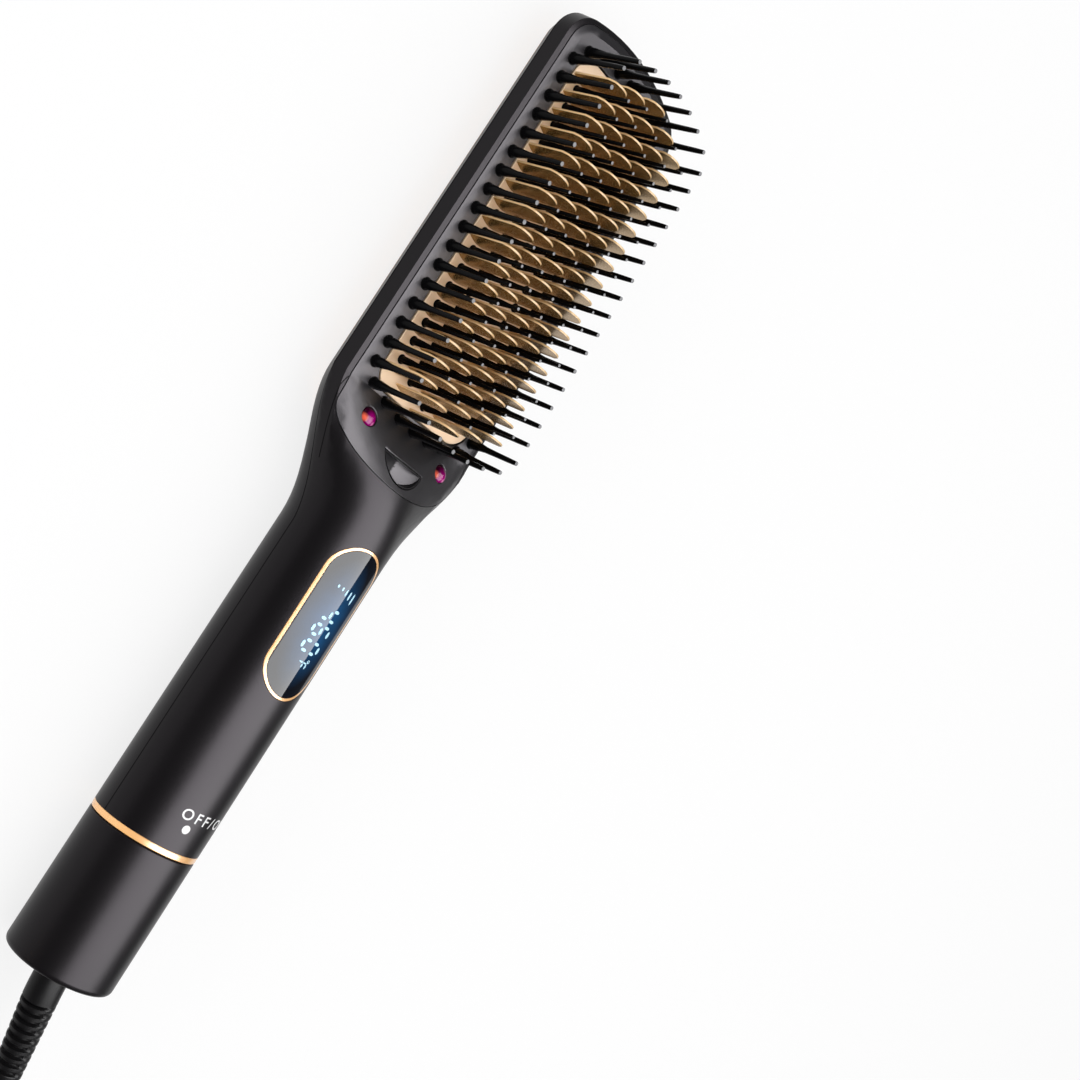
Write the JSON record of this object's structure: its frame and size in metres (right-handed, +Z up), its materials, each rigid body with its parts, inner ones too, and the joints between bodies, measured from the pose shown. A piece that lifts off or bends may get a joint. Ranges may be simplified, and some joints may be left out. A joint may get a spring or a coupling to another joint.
{
  "type": "hair straightener brush",
  "caption": "Heated ionic hair straightening brush with a bristle and fin field, a display handle, a rotary power knob on the tail and a mains cord.",
  "frame": {"origin": "on the table, under the middle of the brush lying on its back", "axes": "+X along the brush to the tip of the head, +Y to its left, +Z up out of the bristles"},
  "size_m": [0.4533, 0.0971, 0.0375],
  "materials": {
    "shell_satin_black": "satin",
    "plate_dark_grey": "satin",
    "bristle_black": "satin",
    "heater_gold": "satin metallic",
    "insulator_brown": "matt",
    "element_foil": "foil",
    "bare_aluminium": "plain",
    "bead_glass": "gloss",
    "fuse_metal": "plain",
    "screw_steel": "plain",
    "band_orange_gold": "satin metallic",
    "lens_ruby": "clear gloss",
    "circuit_board": "satin",
    "outlet_black": "matt",
    "module_black": "satin",
    "wire_sleeve": "satin",
    "lens_glossy_black": "high gloss",
    "trim_gold": "polished metallic",
    "inner_black": "satin",
    "contact_brass": "plain",
    "cord_black": "satin",
    "tie_black": "matt"
  },
  "bodies": {
    "brush": {"front_shell": "shell_satin_black", "back_shell": "shell_satin_black", "bristle_plate": "plate_dark_grey", "outer_bristles": "bristle_black", "inner_bristles": "bristle_black", "heater_plate": "heater_gold", "heater_fins": "heater_gold", "heater_frame": "insulator_brown", "heater_elements": "element_foil", "pressure_plate": "bare_aluminium", "thermistor": "bead_glass", "thermal_fuse": "fuse_metal", "head_screws": "screw_steel", "back_band": "band_orange_gold", "back_panel": "shell_satin_black", "jewel_lens_left": "lens_ruby", "jewel_lens_right": "lens_ruby", "lamp_board": "circuit_board", "ion_outlet": "outlet_black", "ion_needle": "fuse_metal", "ion_generator": "module_black", "ion_lead": "wire_sleeve", "display_lens": "lens_glossy_black", "display_trim": "trim_gold", "display_module": "module_black", "display_standoffs": "screw_steel", "control_board": "circuit_board", "heater_wires": "wire_sleeve", "collar_ring": "trim_gold", "tail_tube": "inner_black", "switch_board": "circuit_board", "cord_boot": "cord_black", "power_cord_lead": "cord_black", "cord_coil": "cord_black", "power_cord_tail": "cord_black", "cord_tie": "tie_black", "plug_body": "cord_black", "plug_blades": "contact_brass"},
    "knob": {"tail_knob": "shell_satin_black", "switch_rotor": "inner_black", "switch_wiper": "contact_brass"}
  },
  "joints": [
    {"name": "power_knob_turn", "type": "hinge", "parent": "brush", "child": "knob", "pos_m": [-0.1275, 0, 0.0158], "axis": [1, 0, 0], "range_deg": [0, 53]}
  ]
}
